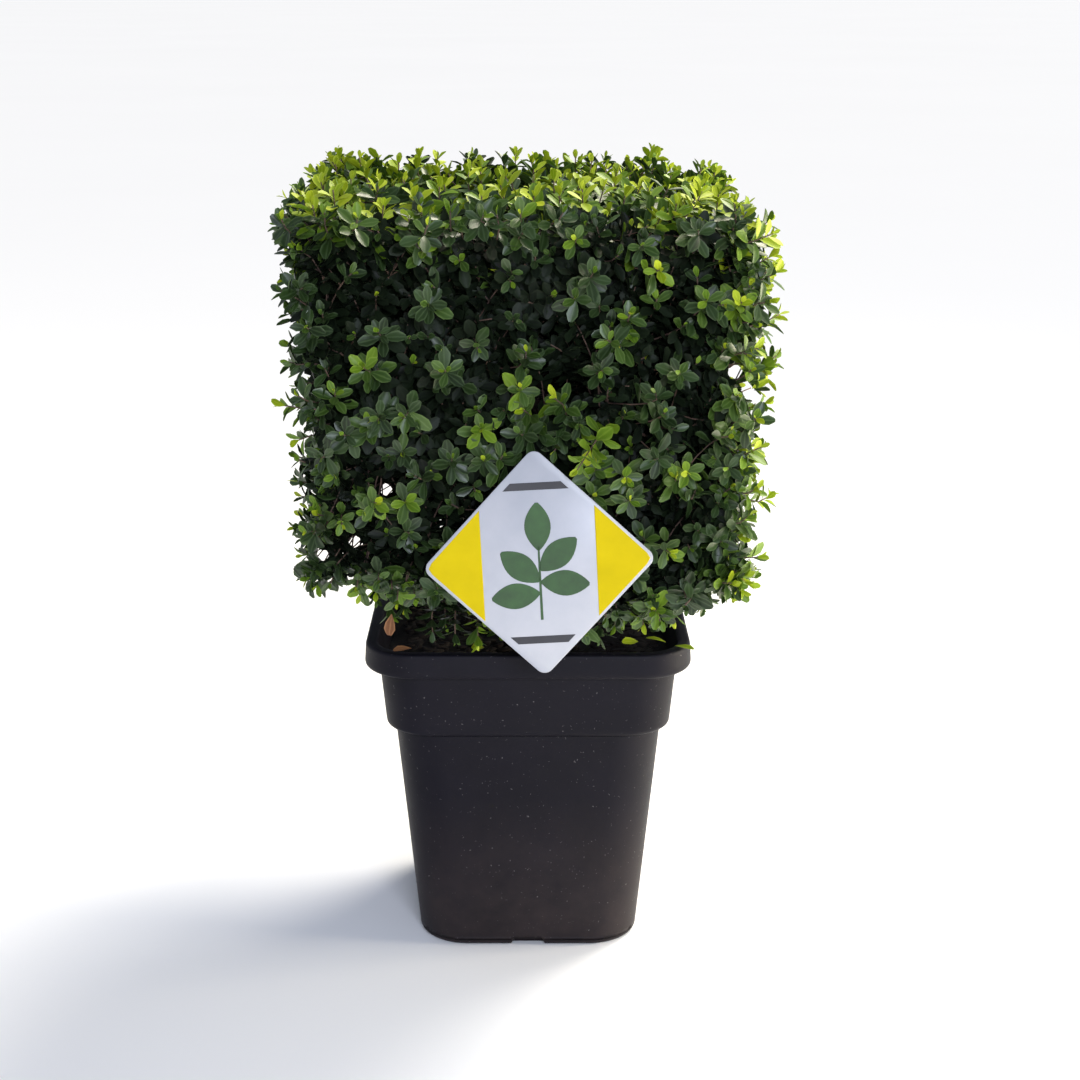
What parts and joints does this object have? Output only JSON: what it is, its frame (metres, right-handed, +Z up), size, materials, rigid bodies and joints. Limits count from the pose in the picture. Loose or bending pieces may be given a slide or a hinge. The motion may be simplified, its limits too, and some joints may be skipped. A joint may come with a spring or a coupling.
{
  "type": "potted topiary",
  "caption": "Small-leaved evergreen shrub clipped to a cube, growing in a tapered square black nursery pot, with a diamond-shaped plant label on a stake in front.",
  "frame": {"origin": "middle of the pot's flat underside, on the floor", "axes": "+Z up along the trunk, -Y towards the front with the label, +X to the right as seen from the front"},
  "size_m": [0.3918, 0.3996, 0.6759],
  "materials": {
    "pot_plastic": "matt black moulded plastic, a little dusty",
    "potting_soil": "dark crumbly bark and peat mix",
    "bark": "grey-brown bark",
    "leaves": "glossy dark green leaves, yellow-green at the tips",
    "label_card": "smooth white plastic card"
  },
  "bodies": {
    "root": {"pot": "pot_plastic", "soil": "potting_soil", "trunk": "bark", "bough_1": "bark", "bough_2": "bark", "bough_3": "bark", "bough_4": "bark", "bough_5": "bark", "bough_6": "bark", "foliage": "leaves", "plant_label": "label_card"}
  },
  "joints": []
}
